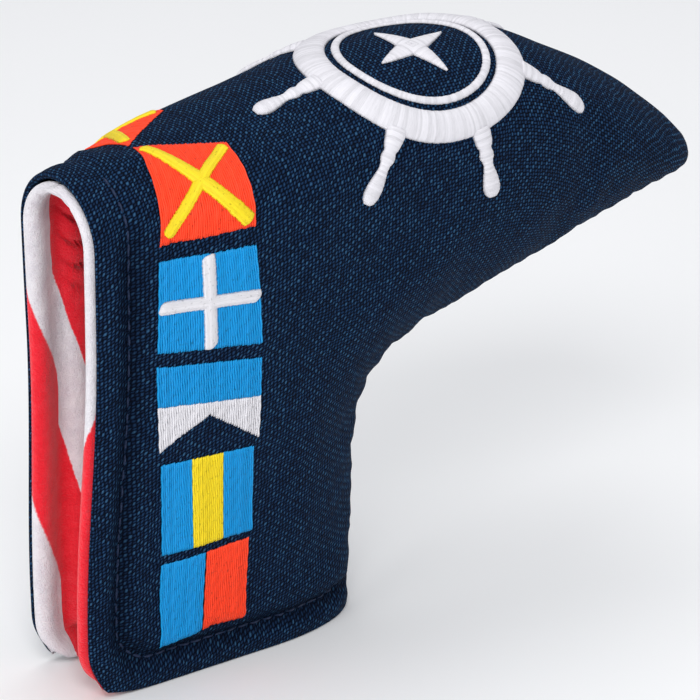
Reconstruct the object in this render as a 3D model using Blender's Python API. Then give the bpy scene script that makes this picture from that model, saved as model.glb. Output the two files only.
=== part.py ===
"""Blade putter head cover: a padded fabric sleeve shaped like an upside-down L.

X runs from the heel opening to the toe, Z up the shaft, and the front panel faces -Y.
The hem stands on Z = 0. Lengths below are in millimetres, with X measured from the foot of the
heel edge; place() turns them into Blender's metres about the middle of the cover.
"""

import math

import bpy
import bmesh
import numpy as np

MM = 0.001
GAP = 0.3
CENTRE_X = 76.1

# Profile, seen from the front: a folded ridge on top, a sewn seam below and round the toe.
RIDGE = [(-12, 99.6), (2.4, 103.2), (20, 106.5), (44, 111.3), (68, 116.0), (88, 116.4),
         (105, 112.3), (128, 101.1), (141, 91.9), (149, 84.3), (152.2, 78.5)]
SEAM = [(66, -15), (66, 0), (66, 20), (66, 36), (66.8, 44), (69, 50), (74, 54.3), (82, 57.6),
        (100, 63), (120, 68.8), (138, 73.8), (147, 75.4), (150.8, 76.4), (152.2, 78.5)]
CORNER_Z = 50
HEEL_LEAN = 2.4
HEEL_CORNER = 9

# Half thickness of the cover: slim at the heel opening, full round the putter head.
HEEL_HALF = (10.9, 12.8)
CORE_HALF = (10.3, 23.3)
TOE_SLIMMING = 0.3

# Depths of the three layers below the outer surface.
SHELL = (0, 1.2)
PADDING = (1.5, 4.5)
LINING = (4.8, 6.8)

# Grid of every layer: lines up the shaft arm, lines along the toe arm, steps across.
SHAFT_LINES = 9
TOE_LINES = 14
ACROSS = 8

# Fold line of the two flaps, from the top of the heel opening to the end of the hem.
FOLD_TOP = (2.4, 103.2)
FOLD_FOOT = (57, 0)
FOLD_GAP = 0.6
HINGE_HALF = 17.5

# Magnets sewn into the flap margins.
MAGNET_RADIUS = 5
MAGNET_THICKNESS = 1.8
MAGNET_PLACES = {"upper": (17, 56), "lower": (17, 20)}

# Embroidery, lifted off the shell.
LIFT = 0.5
THREAD_RADIUS = 0.35
MARGIN = 6.5
FLAG_LEFT = 13.8
FLAG_WIDTH = 19.5
FLAG_HEIGHT = 18
FLAG_FOOT = [92.8, 70.6, 50.2, 29.6, 9.4]
FLAG_THICKNESS = 0.6
WHEEL_CENTRE = (77.3, 7.6)
WHEEL_TURN = math.radians(-78.5)
RIM = (19.6, 2.9, 1.1)
INNER_RING = (14.6, 0.8, 0.7)
SPINDLE_START = 22.6
SPINDLE_LENGTH = 12.3
SPINDLES = 7
STAR_RADIUS = 9

NAVY = (0.012, 0.027, 0.072)
WHITE = (0.80, 0.79, 0.80)
RED = (0.90, 0.02, 0.04)
FOAM = (0.62, 0.60, 0.52)
STEEL = (0.55, 0.56, 0.58)
FLAG_COLOURS = [(1.0, 0.09, 0.03), (0.0, 0.28, 0.68), (0.80, 0.79, 0.80),
                (0.86, 0.70, 0.04), (1.0, 0.09, 0.03)]


def smooth(value, start, end):
    """0 before start, 1 after end, and an S-curve between them."""
    t = np.clip((np.asarray(value, float) - start) / (end - start), 0, 1)
    return t * t * (3 - 2 * t)


def curve_through(points, steps=10):
    """A Catmull-Rom curve through the points."""
    p = np.array(points, float)
    p = np.vstack([2 * p[0] - p[1], p, 2 * p[-1] - p[-2]])
    t = np.linspace(0, 1, steps, endpoint=False)[:, None]
    spans = []
    for a, b, c, d in zip(p[:-3], p[1:-2], p[2:-1], p[3:]):
        cubic = 3 * b - a - 3 * c + d
        spans.append(0.5 * (2 * b + (c - a) * t + (2 * a - 5 * b + 4 * c - d) * t**2 + cubic * t**3))
    return np.vstack(spans + [p[-2:-1]])


RIDGE_LINE = curve_through(RIDGE)
SEAM_LINE = curve_through(SEAM)


def distance_to(line, x, z):
    """Distance from each (x, z) to a polyline."""
    x = np.asarray(x, float)[..., None]
    z = np.asarray(z, float)[..., None]
    a, step = line[:-1], np.diff(line, axis=0)
    along = ((x - a[:, 0]) * step[:, 0] + (z - a[:, 1]) * step[:, 1]) / (step**2).sum(1)
    along = np.clip(along, 0, 1)
    return np.hypot(x - a[:, 0] - along * step[:, 0], z - a[:, 1] - along * step[:, 1]).min(-1)


def round_edge(distance, radius):
    """Quarter ellipse: 0 on the edge, 1 from the radius inwards."""
    rest = 1 - np.clip(distance / radius, 0, 1)
    return np.sqrt(1 - rest**2)


def half_thickness(x, z, depth=0.0):
    """Half thickness of the surface that lies depth below the outer one."""
    heel = HEEL_HALF[0] + (HEEL_HALF[1] - HEEL_HALF[0]) * smooth(z, 0, 100)
    core = CORE_HALF[0] + (CORE_HALF[1] - CORE_HALF[0]) * smooth(z, -12, 95)
    core = core * (1 - TOE_SLIMMING * smooth(x, 95, 150))
    full = heel + (core - heel) * smooth(x, -6, 46) - depth
    ridge_radius = 12 + 6 * smooth(x, 0, 80) - 6 * smooth(x, 90, 150) - depth
    seam_radius = 24 + 6 * smooth(x, 60, 100) - 18 * smooth(x, 100, 150) - depth
    ridge = round_edge(distance_to(RIDGE_LINE, x, z) - depth, ridge_radius)
    seam = round_edge(distance_to(SEAM_LINE, x, z) - depth, seam_radius)
    return full * ridge * seam


def ridge_height(x):
    return np.interp(x, RIDGE_LINE[:, 0], RIDGE_LINE[:, 1])


def heel_edge(z):
    """X of the heel opening's edge: it leans a little, and its lower corner is round."""
    return HEEL_LEAN * smooth(z, 15, 70) + 3 * (1 - np.clip(z / HEEL_CORNER, 0, 1)) ** 2


def inset(line, depth, side):
    """The line moved sideways by depth, cut off where it would pass the other line at the toe."""
    tangent = np.gradient(line, axis=0)
    tangent /= np.linalg.norm(tangent, axis=1)[:, None]
    moved = line + depth * side * np.stack([-tangent[:, 1], tangent[:, 0]], axis=1)
    other = RIDGE_LINE if side > 0 else SEAM_LINE
    clear = distance_to(other, moved[:, 0], moved[:, 1]) >= depth - 1e-6
    return moved[clear | (moved[:, 0] < 120)]


def resampled(line, count):
    """The line as count points at even steps of its length."""
    length = np.concatenate([[0], np.cumsum(np.linalg.norm(np.diff(line, axis=0), axis=1))])
    at = np.linspace(0, length[-1], count)
    return np.stack([np.interp(at, length, line[:, 0]), np.interp(at, length, line[:, 1])], axis=1)


def layer_grid(depth):
    """Points of the front half of the surface at this depth: lines x steps x 3."""
    seam = inset(SEAM_LINE, depth, 1)
    seam = seam[seam[:, 1] >= -1e-6]
    split = int(np.argmax(seam[:, 1] >= CORNER_Z + depth * 0.5))
    ridge = inset(RIDGE_LINE, depth, -1)
    heights = (ridge_height(HEEL_LEAN) - depth) * np.sin(np.linspace(0, math.pi / 2, SHAFT_LINES + 1))
    heel = np.stack([heel_edge(heights), heights], axis=1)
    ridge = np.vstack([heel[-1:], ridge[ridge[:, 0] > heel[-1, 0] + 1]])
    tip = (seam[-1] + ridge[-1]) / 2
    seam[-1] = ridge[-1] = tip
    inner = np.vstack([resampled(seam[: split + 1], SHAFT_LINES + 1)[:-1], resampled(seam[split:], TOE_LINES + 1)])
    outer = np.vstack([heel[:-1], resampled(ridge, TOE_LINES + 1)])
    across = (1 - np.cos(np.pi * np.arange(ACROSS + 1) / ACROSS)) / 2
    flat = inner[:, None] + (outer - inner)[:, None] * across[None, :, None]
    half = half_thickness(flat[..., 0], flat[..., 1], depth)
    half[:, 0] = 0
    half[SHAFT_LINES:, -1] = 0
    half[-1] = 0
    return np.stack([flat[..., 0], -half, flat[..., 1]], axis=-1)


def material(name, colour, roughness, metallic=0.0):
    made = bpy.data.materials.new(name)
    made.use_nodes = True
    shader = made.node_tree.nodes["Principled BSDF"]
    shader.inputs["Base Color"].default_value = (*colour, 1)
    shader.inputs["Roughness"].default_value = roughness
    shader.inputs["Metallic"].default_value = metallic
    made.diffuse_color = (*colour, 1)
    return made


def place(point):
    """The point in metres, with X from the middle of the cover."""
    return [(float(point[0]) - CENTRE_X) * MM, float(point[1]) * MM, float(point[2]) * MM]


def mesh_object(name, points, faces, surface, smooth_angle=math.radians(40)):
    """An object from points in millimetres, with doubles merged and normals facing out."""
    work = bmesh.new()
    verts = [work.verts.new(place(point)) for point in points]
    for face in faces:
        work.faces.new([verts[i] for i in face])
    bmesh.ops.remove_doubles(work, verts=work.verts, dist=1e-6)
    bmesh.ops.dissolve_degenerate(work, edges=work.edges, dist=1e-6)
    bmesh.ops.triangulate(work, faces=work.faces)
    bmesh.ops.recalc_face_normals(work, faces=work.faces)
    mesh = bpy.data.meshes.new(name)
    work.to_mesh(mesh)
    work.free()
    mesh.materials.append(surface)
    mesh.shade_smooth()
    mesh.set_sharp_from_angle(angle=smooth_angle)
    made = bpy.data.objects.new(name, mesh)
    bpy.context.scene.collection.objects.link(made)
    return made


def grid_faces(start, rows, columns, flip=False):
    """Quads of a rows x columns grid of points whose first index is start."""
    faces = []
    for i in range(rows - 1):
        for j in range(columns - 1):
            a = start + i * columns + j
            quad = [a, a + 1, a + columns + 1, a + columns]
            faces.append(quad[::-1] if flip else quad)
    return faces


def layer_mesh(name, depths, surface):
    """One closed layer of the sleeve, open at the heel and at the hem."""
    lines, steps = SHAFT_LINES + TOE_LINES + 1, ACROSS + 1
    points, faces, starts = [], [], []
    for depth in depths:
        front = layer_grid(depth).reshape(-1, 3)
        for side in (1, -1):
            starts.append(len(points))
            faces += grid_faces(len(points), lines, steps)
            points.extend(front * (1, side, 1))
    for outside, inside in ((starts[0], starts[2]), (starts[1], starts[3])):
        rim = [i for i in range(steps)] + [i * steps + steps - 1 for i in range(1, SHAFT_LINES + 1)]
        for a, b in zip(rim, rim[1:]):
            faces.append([outside + a, outside + b, inside + b, inside + a])
    return mesh_object(name, points, faces, surface)


def fold_cutter(name, sides, gap):
    """A prism over everything that a flap takes away: the corner below the fold line."""
    top, foot = np.array(FOLD_TOP, float), np.array(FOLD_FOOT, float)
    along = (foot - top) / np.linalg.norm(foot - top)
    shift = gap / 2 * np.array([-along[1], along[0]])
    far = [top - 60 * along + shift, foot + 60 * along + shift]
    outline = far + [np.array([-90.0, -90.0])]
    points = [(x, y, z) for y in sides for x, z in outline]
    faces = [[0, 1, 2], [5, 4, 3]] + [[i, (i + 1) % 3, (i + 1) % 3 + 3, i + 3] for i in range(3)]
    made = mesh_object(name, points, faces, material(name, (1, 0, 0), 1))
    made.hide_render = True
    made.display_type = "WIRE"
    return made


def cut(target, cutter, operation):
    modifier = target.modifiers.new(cutter.name, "BOOLEAN")
    modifier.operation = operation
    modifier.object = cutter
    modifier.solver = "EXACT"
    return target


def section_table():
    """Arc length, Y and Z down the front of the cover, for each X in whole millimetres."""
    rows = []
    toe_seam = SEAM_LINE[SEAM_LINE[:, 0] > SEAM[2][0] + 0.1]
    for x in range(0, 152):
        foot = 0 if x <= SEAM[2][0] else np.interp(x, toe_seam[:, 0], toe_seam[:, 1])
        z = foot + (ridge_height(x) - foot) * np.sin(np.linspace(math.pi / 2, 0, 120))
        y = half_thickness(np.full(120, float(x)), z)
        y[0] = 0
        length = np.concatenate([[0], np.cumsum(np.hypot(np.diff(y), np.diff(z)))])
        rows.append((length, y, z))
    return rows


SECTIONS = section_table()


def panel_point(x, t):
    """Point on the outer surface, t down from the ridge: over the front, or the back if t < 0."""
    low = int(min(max(math.floor(x), 0), len(SECTIONS) - 2))
    ends = []
    for length, y, z in SECTIONS[low : low + 2]:
        ends.append((np.interp(abs(t), length, y), np.interp(abs(t), length, z)))
    part = x - low
    y, z = (ends[0][k] * (1 - part) + ends[1][k] * part for k in (0, 1))
    return np.array([x, -math.copysign(y, t), z])


def fall_to(x, z):
    """How far down the front panel from the ridge the height z lies."""
    length, _, heights = SECTIONS[int(round(x))]
    return float(np.interp(-z, -heights, length))


def lifted(x, t, height):
    """A point at this height above the outer surface."""
    here = panel_point(x, t)
    along = panel_point(x + 0.5, t) - panel_point(x - 0.5, t)
    down = panel_point(x, t + 0.5) - panel_point(x, t - 0.5)
    normal = np.cross(down, along)
    return here + normal / np.linalg.norm(normal) * height


def slab(name, surface, spot, rows, columns, thickness):
    """A thin patch of stitching over a grid of panel places."""
    points = []
    for height in (LIFT, LIFT + thickness):
        points += [lifted(*spot(i / rows, j / columns), height) for i in range(rows + 1) for j in range(columns + 1)]
    size = (rows + 1) * (columns + 1)
    faces = grid_faces(0, rows + 1, columns + 1, True) + grid_faces(size, rows + 1, columns + 1)
    edge = [(0, j) for j in range(columns)] + [(i, columns) for i in range(rows)]
    edge += [(rows, j) for j in range(columns, 0, -1)] + [(i, 0) for i in range(rows, 0, -1)]
    ring = [i * (columns + 1) + j for i, j in edge]
    faces += [[a, b, b + size, a + size] for a, b in zip(ring, ring[1:] + ring[:1])]
    return mesh_object(name, points, faces, surface)


def swept(name, surface, stations, closed):
    """A domed satin-stitch ridge: each station is (centre, sideways, half width, height)."""
    profile = [(-1, 0), (1, 0), (0.8, 0.6), (0, 1), (-0.8, 0.6)]
    points, faces = [], []
    for (x, t), (sx, st), half, height in stations:
        points += [lifted(x + sx * half * a, t + st * half * a, LIFT + height * b) for a, b in profile]
    count, width = len(stations), len(profile)
    for i in range(count if closed else count - 1):
        a, b = i * width, (i + 1) % count * width
        faces += [[a + k, a + (k + 1) % width, b + (k + 1) % width, b + k] for k in range(width)]
    if not closed:
        faces += [list(range(width))[::-1], list(range((count - 1) * width, count * width))]
    return mesh_object(name, points, faces, surface)


def wheel_place(radius, angle):
    x, t = WHEEL_CENTRE
    return x + radius * math.cos(angle), t - radius * math.sin(angle)


def ring(name, surface, size, count=40):
    radius, half, height = size
    stations = []
    for k in range(count):
        angle = 2 * math.pi * k / count
        stations.append((wheel_place(radius, angle), (math.cos(angle), -math.sin(angle)), half, height))
    return swept(name, surface, stations, True)


def spindle_half_width(u):
    """Turned handle: a neck, two beads and a long bulb."""
    outline = [(0, 1.1), (0.08, 1.5), (0.16, 1.0), (0.24, 1.6), (0.34, 1.0), (0.5, 1.3), (0.78, 1.9), (0.94, 1.6), (1, 0.7)]
    return float(np.interp(u, *zip(*outline)))


def make_wheel(surface):
    """Ship's wheel over the ridge: rim, thin inner ring, seven turned handles and a plain star."""
    ring("wheel_rim", surface, RIM)
    ring("wheel_inner_ring", surface, INNER_RING)
    for k in range(SPINDLES):
        angle = WHEEL_TURN + 2 * math.pi * k / SPINDLES
        sideways = (-math.sin(angle), -math.cos(angle))
        stations = []
        for step in range(13):
            u = step / 12
            centre = wheel_place(SPINDLE_START + RIM[1] * 0.25 + SPINDLE_LENGTH * u, angle)
            half = spindle_half_width(u)
            stations.append((centre, sideways, half, 0.25 + 0.4 * half))
        swept(f"wheel_handle_{k + 1}", surface, stations, False)
    tips = []
    for k in range(8):
        radius = STAR_RADIUS if k % 2 == 0 else STAR_RADIUS * 0.3
        tips.append(wheel_place(radius, WHEEL_TURN + math.pi / 4 * k))
    points = [lifted(*p, LIFT) for p in tips] + [lifted(*p, LIFT + 0.35) for p in tips]
    points += [lifted(*WHEEL_CENTRE, LIFT), lifted(*WHEEL_CENTRE, LIFT + 1.0)]
    faces = []
    for k in range(8):
        after = (k + 1) % 8
        faces += [[k, after, after + 8, k + 8], [16, after, k], [17, k + 8, after + 8]]
    mesh_object("wheel_star", points, faces, surface)


def make_flags(cutters):
    """Five stitched flags down the front and five down the back; two of each five cross the fold."""
    for side, face in ((1, "front"), (-1, "back")):
        for number, (foot, colour) in enumerate(zip(FLAG_FOOT, FLAG_COLOURS), 1):
            surface = material(f"{face}_flag_{number}", colour, 0.55)

            def spot(u, v):
                x = FLAG_LEFT + FLAG_WIDTH * v
                return x, side * (fall_to(x, foot) - FLAG_HEIGHT * (1 - u))

            name = f"{face}_flag_{number}"
            if number in (2, 3):
                cut(slab(name, surface, spot, 5, 5, FLAG_THICKNESS), cutters["gap"], "DIFFERENCE")
                cut(slab(f"{name}_on_flap", surface, spot, 5, 5, FLAG_THICKNESS), cutters[face], "INTERSECT")
            else:
                slab(name, surface, spot, 5, 5, FLAG_THICKNESS)


def thread(name, surface, places):
    """Topstitching thread over the given panel places."""
    stations = []
    for k, (x, t) in enumerate(places):
        before, after = places[max(k - 1, 0)], places[min(k + 1, len(places) - 1)]
        dx, dt = after[0] - before[0], after[1] - before[1]
        length = math.hypot(dx, dt)
        stations.append(((x, t), (-dt / length, dx / length), THREAD_RADIUS, THREAD_RADIUS * 1.6))
    return swept(name, surface, stations, False)


def make_topstitching(surface):
    """One line of stitching inside the heel edge and the hem, broken where the flaps fold."""
    x_heel = HEEL_LEAN + MARGIN
    fold_z = 86
    over_top = np.linspace(-fall_to(x_heel, fold_z + 2), fall_to(x_heel, fold_z + 2), 17)
    thread("top_topstitch", surface, [(x_heel, t) for t in over_top])
    for side, face in ((1, "front"), (-1, "back")):
        route = [(float(heel_edge(z)) + MARGIN, z) for z in np.linspace(fold_z - 2, 9, 14)]
        route += [(x, MARGIN - 1) for x in np.linspace(11, 50, 9)]
        thread(f"{face}_flap_topstitch", surface, [(x, side * fall_to(x, z)) for x, z in route])


def make_magnets(surface):
    """Four button magnets in pockets of the flap padding, front facing back."""
    middle = (PADDING[0] + PADDING[1]) / 2
    for face, side in (("front", -1), ("back", 1)):
        for level, (x, z) in MAGNET_PLACES.items():
            here = place((x, side * (float(half_thickness(x, z)) - middle), z))
            step = 3
            slope_x = float(half_thickness(x + step, z) - half_thickness(x - step, z)) / (2 * step)
            slope_z = float(half_thickness(x, z + step) - half_thickness(x, z - step)) / (2 * step)
            pieces = []
            for grow, tag in ((0, ""), (GAP, "_pocket")):
                work = bmesh.new()
                bmesh.ops.create_cone(
                    work, cap_ends=True, segments=24, radius1=(MAGNET_RADIUS + grow) * MM,
                    radius2=(MAGNET_RADIUS + grow) * MM, depth=(MAGNET_THICKNESS + 2 * grow) * MM)
                name = f"{face}_{level}_magnet{tag}"
                mesh = bpy.data.meshes.new(name)
                work.to_mesh(mesh)
                work.free()
                mesh.materials.append(surface)
                mesh.shade_smooth()
                mesh.set_sharp_from_angle(angle=math.radians(40))
                made = bpy.data.objects.new(name, mesh)
                bpy.context.scene.collection.objects.link(made)
                made.location = here
                made.rotation_euler = (math.pi / 2 + side * math.atan(slope_z), 0, side * math.atan(slope_x))
                pieces.append(made)
            pieces[1].hide_render = True
            pieces[1].display_type = "WIRE"
            cut(bpy.data.objects[f"{face}_flap_padding"], pieces[1], "DIFFERENCE")


def add_hinges():
    """An empty on the fold axis of each flap, with the flap's pieces as its children."""
    middle = (np.array(FOLD_TOP) + np.array(FOLD_FOOT)) / 2
    for face, side in (("front", -1), ("back", 1)):
        hinge = bpy.data.objects.new(f"{face}_flap_hinge", None)
        bpy.context.scene.collection.objects.link(hinge)
        hinge.location = place((middle[0], side * HINGE_HALF, middle[1]))
        bpy.context.view_layer.update()
        for made in bpy.data.objects:
            on_flap = made.name.startswith(f"{face}_flap") or made.name.endswith("_on_flap")
            loose = made.name.startswith(face) and made.name.rsplit("_", 1)[-1] in ("4", "5", "magnet", "pocket")
            if made.type == "MESH" and (on_flap and made.name.startswith(face) or loose):
                made.parent = hinge
                made.matrix_parent_inverse = hinge.matrix_world.inverted()


def main():
    for old in list(bpy.data.objects):
        bpy.data.objects.remove(old)
    cutters = {
        "gap": fold_cutter("fold_gap_cutter", (-60, 60), FOLD_GAP),
        "front": fold_cutter("front_flap_cutter", (-60, -0.2), -FOLD_GAP),
        "back": fold_cutter("back_flap_cutter", (0.2, 60), -FOLD_GAP),
    }
    fabric = material("navy_fabric", NAVY, 0.75)
    foam = material("foam", FOAM, 0.9)
    plush = material("plush", RED, 0.95)
    for kind, depths, surface in (("shell", SHELL, fabric), ("padding", PADDING, foam), ("lining", LINING, plush)):
        cut(layer_mesh(f"body_{kind}", depths, surface), cutters["gap"], "DIFFERENCE")
        for face in ("front", "back"):
            cut(layer_mesh(f"{face}_flap_{kind}", depths, surface), cutters[face], "INTERSECT")
    make_magnets(material("magnet_steel", STEEL, 0.3, 1.0))
    make_flags(cutters)
    make_wheel(material("white_thread", WHITE, 0.5))
    make_topstitching(material("navy_thread", NAVY, 0.5))
    add_hinges()


main()
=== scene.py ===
import math

import bpy
import numpy as np
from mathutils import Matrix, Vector, noise
from mathutils.bvhtree import BVHTree


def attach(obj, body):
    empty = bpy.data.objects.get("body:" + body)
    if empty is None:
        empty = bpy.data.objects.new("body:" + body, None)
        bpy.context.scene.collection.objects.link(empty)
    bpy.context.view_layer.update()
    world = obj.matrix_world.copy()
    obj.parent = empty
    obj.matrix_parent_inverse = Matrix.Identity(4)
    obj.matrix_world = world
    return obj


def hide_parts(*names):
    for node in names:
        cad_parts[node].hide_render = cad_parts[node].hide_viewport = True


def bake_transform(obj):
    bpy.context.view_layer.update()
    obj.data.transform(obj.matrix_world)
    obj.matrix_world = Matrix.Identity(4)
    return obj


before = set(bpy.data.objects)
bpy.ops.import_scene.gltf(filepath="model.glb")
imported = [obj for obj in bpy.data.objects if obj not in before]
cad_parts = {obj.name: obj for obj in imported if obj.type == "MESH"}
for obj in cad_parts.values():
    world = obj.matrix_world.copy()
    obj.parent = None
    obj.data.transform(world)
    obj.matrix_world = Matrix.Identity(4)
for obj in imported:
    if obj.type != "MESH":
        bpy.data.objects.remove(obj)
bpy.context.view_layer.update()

# Lengths are in millimetres, with X from the foot of the heel edge, as in the CAD model.
# The front panel faces -Y; t is the arc length down a panel from the ridge, negative on the back.
MM = 0.001
CENTRE_X = 76.1
RIDGE = [(-12, 99.6), (2.4, 103.2), (20, 106.5), (44, 111.3), (68, 116.0), (88, 116.4),
         (105, 112.3), (128, 101.1), (141, 91.9), (149, 84.3), (152.2, 78.5)]
SEAM = [(66, -15), (66, 0), (66, 20), (66, 36), (66.8, 44), (69, 50), (74, 54.3), (82, 57.6),
        (100, 63), (120, 68.8), (138, 73.8), (147, 75.4), (150.8, 76.4), (152.2, 78.5)]
CORNER_Z = 50
HEEL_LEAN = 2.4
HEEL_CORNER = 9
HEEL_HALF = (10.9, 12.8)
CORE_HALF = (10.3, 23.3)
TOE_SLIMMING = 0.3
HEM_RISE = 0.6
LINING_DEPTH = 6.0
GROOVE = 6.0

# Mesh lines up the shaft arm, lines along the toe arm, steps across.
SHAFT_LINES, TOE_LINES, ACROSS = 84, 120, 64

# Cloth places (x, t) of each flag's corners: top left, top right, lower right, lower left.
FLAG_WIDTH, FLAG_HEIGHT = 19, 19.5
FLAG_CORNERS = [
    [(18, 0.8), (32.5, 10.5), (31.2, 29), (13.5, 23.5)],
    [(13.3, 26.5), (31.2, 32.6), (33, 53.3), (13, 44.2)],
    [(12.8, 47), (33, 56.3), (33.6, 73.6), (13.6, 65)],
    [(14, 68), (32.6, 75), (34, 94.6), (15, 88)],
    [(14.9, 90), (33.5, 96), (34, 114.3), (14.6, 107.5)],
]
WHEEL_CENTRE = (77.3, 7.6)
WHEEL_TURN = math.radians(-78.5)
HANDLES = 7


# ---------------------------------------------------------------- the cover's surface

def smooth(value, start, end):
    """0 before start, 1 after end, and an S-curve between them."""
    t = np.clip((np.asarray(value, float) - start) / (end - start), 0, 1)
    return t * t * (3 - 2 * t)


def curve_through(points, steps=10):
    """A Catmull-Rom curve through the points."""
    p = np.array(points, float)
    p = np.vstack([2 * p[0] - p[1], p, 2 * p[-1] - p[-2]])
    t = np.linspace(0, 1, steps, endpoint=False)[:, None]
    spans = []
    for a, b, c, d in zip(p[:-3], p[1:-2], p[2:-1], p[3:]):
        cubic = 3 * b - a - 3 * c + d
        spans.append(0.5 * (2 * b + (c - a) * t + (2 * a - 5 * b + 4 * c - d) * t**2 + cubic * t**3))
    return np.vstack(spans + [p[-2:-1]])


RIDGE_LINE = curve_through(RIDGE)
SEAM_LINE = curve_through(SEAM)


def distance_to(line, x, z):
    """Distance from each (x, z) to a polyline."""
    x = np.asarray(x, float)[..., None]
    z = np.asarray(z, float)[..., None]
    a, step = line[:-1], np.diff(line, axis=0)
    along = ((x - a[:, 0]) * step[:, 0] + (z - a[:, 1]) * step[:, 1]) / (step**2).sum(1)
    along = np.clip(along, 0, 1)
    return np.hypot(x - a[:, 0] - along * step[:, 0], z - a[:, 1] - along * step[:, 1]).min(-1)


def round_edge(distance, radius):
    """Quarter ellipse: 0 on the edge, 1 from the radius inwards."""
    rest = 1 - np.clip(distance / radius, 0, 1)
    return np.sqrt(1 - rest**2)


def half_thickness(x, z, depth=0.0):
    """Half thickness of the surface that lies depth below the outer one."""
    heel = HEEL_HALF[0] + (HEEL_HALF[1] - HEEL_HALF[0]) * smooth(z, 0, 100)
    core = CORE_HALF[0] + (CORE_HALF[1] - CORE_HALF[0]) * smooth(z, -12, 95)
    core = core * (1 - TOE_SLIMMING * smooth(x, 95, 150))
    full = heel + (core - heel) * smooth(x, -6, 46) - depth
    ridge_radius = 12 + 6 * smooth(x, 0, 80) - 6 * smooth(x, 90, 150) - depth
    seam_radius = 24 + 6 * smooth(x, 60, 100) - 18 * smooth(x, 100, 150) - depth
    ridge = round_edge(distance_to(RIDGE_LINE, x, z) - depth, ridge_radius)
    seam = round_edge(distance_to(SEAM_LINE, x, z) - depth, seam_radius)
    return full * ridge * seam


def ridge_height(x):
    return np.interp(x, RIDGE_LINE[:, 0], RIDGE_LINE[:, 1])


def heel_edge(z):
    """X of the heel opening's edge: it leans a little, and its lower corner is round."""
    return HEEL_LEAN * smooth(z, 15, 70) + 3 * (1 - np.clip(z / HEEL_CORNER, 0, 1)) ** 2


def rim_line():
    """The open edge: down the heel, round the lower corner, along the hem."""
    z = np.concatenate([np.linspace(115, 12, 40), np.linspace(11, 0, 12)])
    return np.vstack([np.stack([heel_edge(z), z], axis=1), [[66, 0], [75, 0]]])


RIM_LINE = rim_line()


def rim_distance(x, z):
    return distance_to(RIM_LINE, x, z)


def margin_distance(x, z):
    """Distance from the open edge as the stitching sees it, turning the corner in a wide curve."""
    a, b, round_off = x - HEEL_LEAN * smooth(z, 15, 70), np.asarray(z, float), 9.0
    blend = np.clip(round_off - np.abs(a - b), 0, None) / round_off
    return np.minimum(a, b) - blend**2 * round_off / 4


def inset(line, depth, side):
    """The line moved sideways by depth, cut off where it would pass the other line at the toe."""
    tangent = np.gradient(line, axis=0)
    tangent /= np.linalg.norm(tangent, axis=1)[:, None]
    moved = line + depth * side * np.stack([-tangent[:, 1], tangent[:, 0]], axis=1)
    other = RIDGE_LINE if side > 0 else SEAM_LINE
    clear = distance_to(other, moved[:, 0], moved[:, 1]) >= depth - 1e-6
    return moved[clear | (moved[:, 0] < 120)]


def spread(line, shares):
    """Points of the line at these shares of its length."""
    length = np.concatenate([[0], np.cumsum(np.linalg.norm(np.diff(line, axis=0), axis=1))])
    at = np.asarray(shares) * length[-1]
    return np.stack([np.interp(at, length, line[:, 0]), np.interp(at, length, line[:, 1])], axis=1)


def flat_grid(depth):
    """(x, z) of the grid points of the layer at this depth: lines x steps x 2."""
    seam = inset(SEAM_LINE, depth, 1)
    seam = seam[seam[:, 1] > HEM_RISE]
    seam = np.vstack([[seam[0, 0], HEM_RISE], seam])
    split = int(np.argmax(seam[:, 1] >= CORNER_Z + depth * 0.5))
    ridge = inset(RIDGE_LINE, depth, -1)
    both_ends = (1 - np.cos(np.linspace(0, math.pi, SHAFT_LINES + 1))) / 2
    one_end = 1 - np.cos(np.linspace(0, math.pi / 2, SHAFT_LINES + 1))
    one_end = one_end * 0.6 + np.linspace(0, 1, SHAFT_LINES + 1) * 0.4
    heights = HEM_RISE + (ridge_height(HEEL_LEAN) - depth - HEM_RISE) * both_ends
    heel = np.stack([heel_edge(heights), heights], axis=1)
    ridge = np.vstack([heel[-1:], ridge[ridge[:, 0] > heel[-1, 0] + 0.5]])
    tip = (seam[-1] + ridge[-1]) / 2
    seam[-1] = ridge[-1] = tip
    even = np.linspace(0, 1, TOE_LINES + 1)
    inner = np.vstack([spread(seam[: split + 1], one_end)[:-1], spread(seam[split:], even)])
    outer = np.vstack([heel[:-1], spread(ridge, even)])
    across = (1 - np.cos(np.pi * np.arange(ACROSS + 1) / ACROSS)) / 2
    return inner[:, None] + (outer - inner)[:, None] * across[None, :, None]


def corner_warp(points):
    """The lower heel corner drawn up and in, where the flap's edge turns into the hem."""
    x, z = points[..., 0], points[..., 2]
    near = np.clip(1 - x / 15, 0, 1) ** 2
    moved = points.copy()
    moved[..., 0] += 1.4 * np.clip(1 - z / 11, 0, 1) ** 2 * np.clip(1 - x / 9, 0, 1)
    moved[..., 2] += 2.2 * near * np.clip(1 - z / 22, 0, 1)
    return moved


def closed_edges(values):
    """values with the grid points on the seam, the ridge and the toe set to 0."""
    values = values.copy()
    values[:, 0] = 0
    values[SHAFT_LINES:, -1] = 0
    values[-1] = 0
    return values


def half_normals(x, z, depth=0.0):
    """Outward normals of the front half, from the slope of the thickness."""
    step = 0.001
    slope_x = (half_thickness(x + step, z, depth) - half_thickness(x - step, z, depth)) / (2 * step)
    slope_z = (half_thickness(x, z + step, depth) - half_thickness(x, z - step, depth)) / (2 * step)
    normals = np.stack([-slope_x, -np.ones_like(slope_x), -slope_z], axis=-1)
    normals[:, 0] = normals[:, 1] * (1, 0, 1)
    normals[SHAFT_LINES:, -1] = normals[SHAFT_LINES:, -2] * (1, 0, 1)
    normals[-3:] = (1, 0, -0.3)
    return normals / np.linalg.norm(normals, axis=-1, keepdims=True)


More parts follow.
